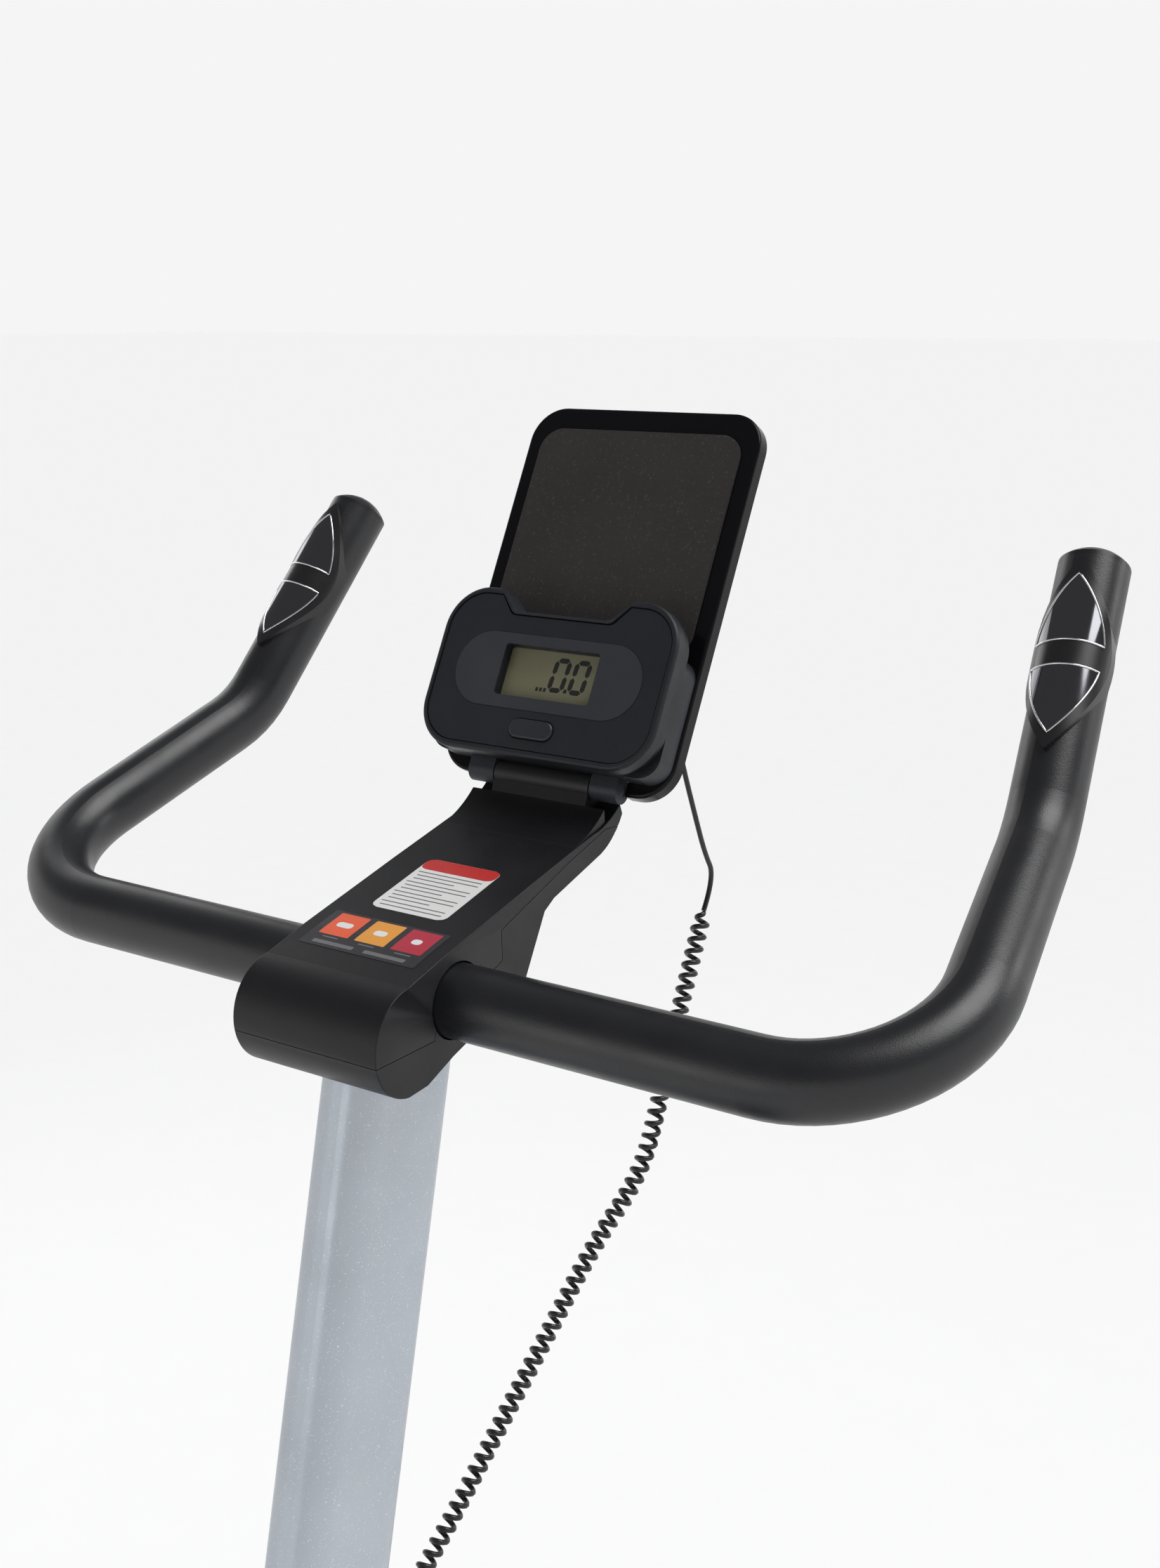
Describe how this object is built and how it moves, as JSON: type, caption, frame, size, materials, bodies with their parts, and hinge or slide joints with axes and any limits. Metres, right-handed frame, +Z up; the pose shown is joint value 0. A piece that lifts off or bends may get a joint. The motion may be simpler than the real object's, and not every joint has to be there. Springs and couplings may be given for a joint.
{
  "type": "exercise bike",
  "caption": "Upright exercise bike with bent pulse-grip handlebar, tilting console with device rest, magnetic flywheel drive, sliding posts and strapped pedals.",
  "frame": {"origin": "on the floor, midway between the stabilisers", "axes": "+Z up, +Y forward away from the rider, +X to the rider's right"},
  "size_m": [0.6108, 1.02, 1.3525],
  "materials": {
    "bar_cover": "soft matt",
    "black_plastic": "satin",
    "cover_plastic": "semi-matt",
    "gloss_black": "gloss",
    "pad": "fine speckled",
    "case_plastic": "fine textured",
    "panel_grey": "satin",
    "chrome": "polished",
    "steel": "plain",
    "silver_paint": "metallic",
    "dark_paint": "satin",
    "lcd": "olive display",
    "lens": "clear",
    "board": "satin",
    "cord": "gloss",
    "iron": "painted",
    "belt": "matt",
    "tread": "matt",
    "vinyl": "soft grain"
  },
  "bodies": {
    "frame": {"base_beam": "dark_paint", "stabilisers": "dark_paint", "stabiliser_feet": "tread", "frame_bolts": "steel", "post_sleeve": "dark_paint", "sleeve_bush": "black_plastic", "seat_tube": "dark_paint", "seat_bush": "black_plastic", "bottom_bracket": "dark_paint", "bearings": "steel", "fork_plates": "dark_paint", "housing_left": "black_plastic", "housing_right": "black_plastic", "drive_belt": "belt", "knob_collars": "steel", "cord_socket": "black_plastic"},
    "post": {"handlebar_post": "silver_paint", "clamp_base": "steel", "clamp_cap": "steel", "clamp_bolts": "steel", "handlebar_tube": "bar_cover", "bar_end_caps": "black_plastic", "pulse_housings": "black_plastic", "pulse_plates": "chrome", "cover_top": "cover_plastic", "cover_bottom": "cover_plastic", "hinge_pin": "steel", "console_lead": "cord", "console_coil": "cord"},
    "console": {"console_housing": "case_plastic", "console_rear": "black_plastic", "face_plate": "case_plastic", "oval_panel": "panel_grey", "lcd_module": "lcd", "lcd_lens": "lens", "circuit_board": "board", "holder_plate": "gloss_black", "holder_pad": "pad", "console_screws": "steel"},
    "button": {"console_button": "panel_grey"},
    "post_knob": {"post_lock_knob": "black_plastic"},
    "seat_knob": {"seat_lock_knob": "black_plastic"},
    "tension_dial": {"tension_knob": "black_plastic"},
    "brake": {"magnet_arm": "steel", "brake_magnets": "steel"},
    "crank": {"crank_axle": "steel", "crank_arms": "chrome", "crank_covers": "black_plastic", "drive_pulley": "black_plastic"},
    "pedal_left": {"pedal_left": "black_plastic", "pedal_strap_left": "tread"},
    "pedal_right": {"pedal_right": "black_plastic", "pedal_strap_right": "tread"},
    "flywheel": {"flywheel": "iron", "flywheel_axle": "steel"},
    "wheel_left": {"wheel_left": "tread"},
    "wheel_right": {"wheel_right": "tread"},
    "seat": {"seat_post": "silver_paint", "saddle_base": "dark_paint", "saddle_pad": "vinyl"}
  },
  "joints": [
    {"name": "crank_spin", "type": "hinge", "parent": "frame", "child": "crank", "pos_m": [0, -0.11, 0.32], "axis": [1, 0, 0], "continuous": true},
    {"name": "flywheel_spin", "type": "hinge", "parent": "frame", "child": "flywheel", "pos_m": [0, 0.23, 0.32], "axis": [1, 0, 0], "continuous": true},
    {"name": "pedal_left_spin", "type": "hinge", "parent": "crank", "child": "pedal_left", "pos_m": [-0.151, -0.265, 0.32], "axis": [1, 0, 0], "continuous": true},
    {"name": "pedal_right_spin", "type": "hinge", "parent": "crank", "child": "pedal_right", "pos_m": [0.151, 0.045, 0.32], "axis": [1, 0, 0], "continuous": true},
    {"name": "handlebar_height", "type": "slide", "parent": "frame", "child": "post", "axis": [0, 0.221, 0.9753], "range_m": [0, 0.1], "deforming": ["console_coil"]},
    {"name": "saddle_height", "type": "slide", "parent": "frame", "child": "seat", "axis": [0, -0.1908, 0.9816], "range_m": [-0.06, 0.06]},
    {"name": "post_knob_pull", "type": "slide", "parent": "frame", "child": "post_knob", "axis": [0, -0.9753, 0.221], "range_m": [0, 0.012], "stiffness_N_per_m": 400, "springref_m": -0.002},
    {"name": "seat_knob_pull", "type": "slide", "parent": "frame", "child": "seat_knob", "axis": [0, 0.9816, 0.1908], "range_m": [0, 0.012], "stiffness_N_per_m": 400, "springref_m": -0.002},
    {"name": "console_tilt", "type": "hinge", "parent": "post", "child": "console", "pos_m": [0, 0.332, 1.156], "axis": [1, 0, 0], "range_deg": [-20, 8], "deforming": ["console_lead"]},
    {"name": "button_press", "type": "slide", "parent": "console", "child": "button", "axis": [0, 0.8873, -0.4611], "range_m": [0, 0.0011], "stiffness_N_per_m": 600, "springref_m": -0.0008},
    {"name": "tension_turn", "type": "hinge", "parent": "frame", "child": "tension_dial", "pos_m": [0, 0.03469, 0.54972], "axis": [0, -0.9753, 0.221], "range_deg": [0, 300]},
    {"name": "brake_lift", "type": "hinge", "parent": "frame", "child": "brake", "pos_m": [0, 0.184, 0.4617], "axis": [1, 0, 0], "range_deg": [0, 2]},
    {"name": "wheel_left_spin", "type": "hinge", "parent": "frame", "child": "wheel_left", "pos_m": [-0.241, 0.48, 0.029], "axis": [1, 0, 0], "continuous": true},
    {"name": "wheel_right_spin", "type": "hinge", "parent": "frame", "child": "wheel_right", "pos_m": [0.241, 0.48, 0.029], "axis": [1, 0, 0], "continuous": true}
  ],
  "couplings": [
    {"joint": "flywheel_spin", "follows": "crank_spin", "ratio": 5},
    {"joint": "brake_lift", "follows": "tension_turn", "ratio": 0.006667}
  ]
}
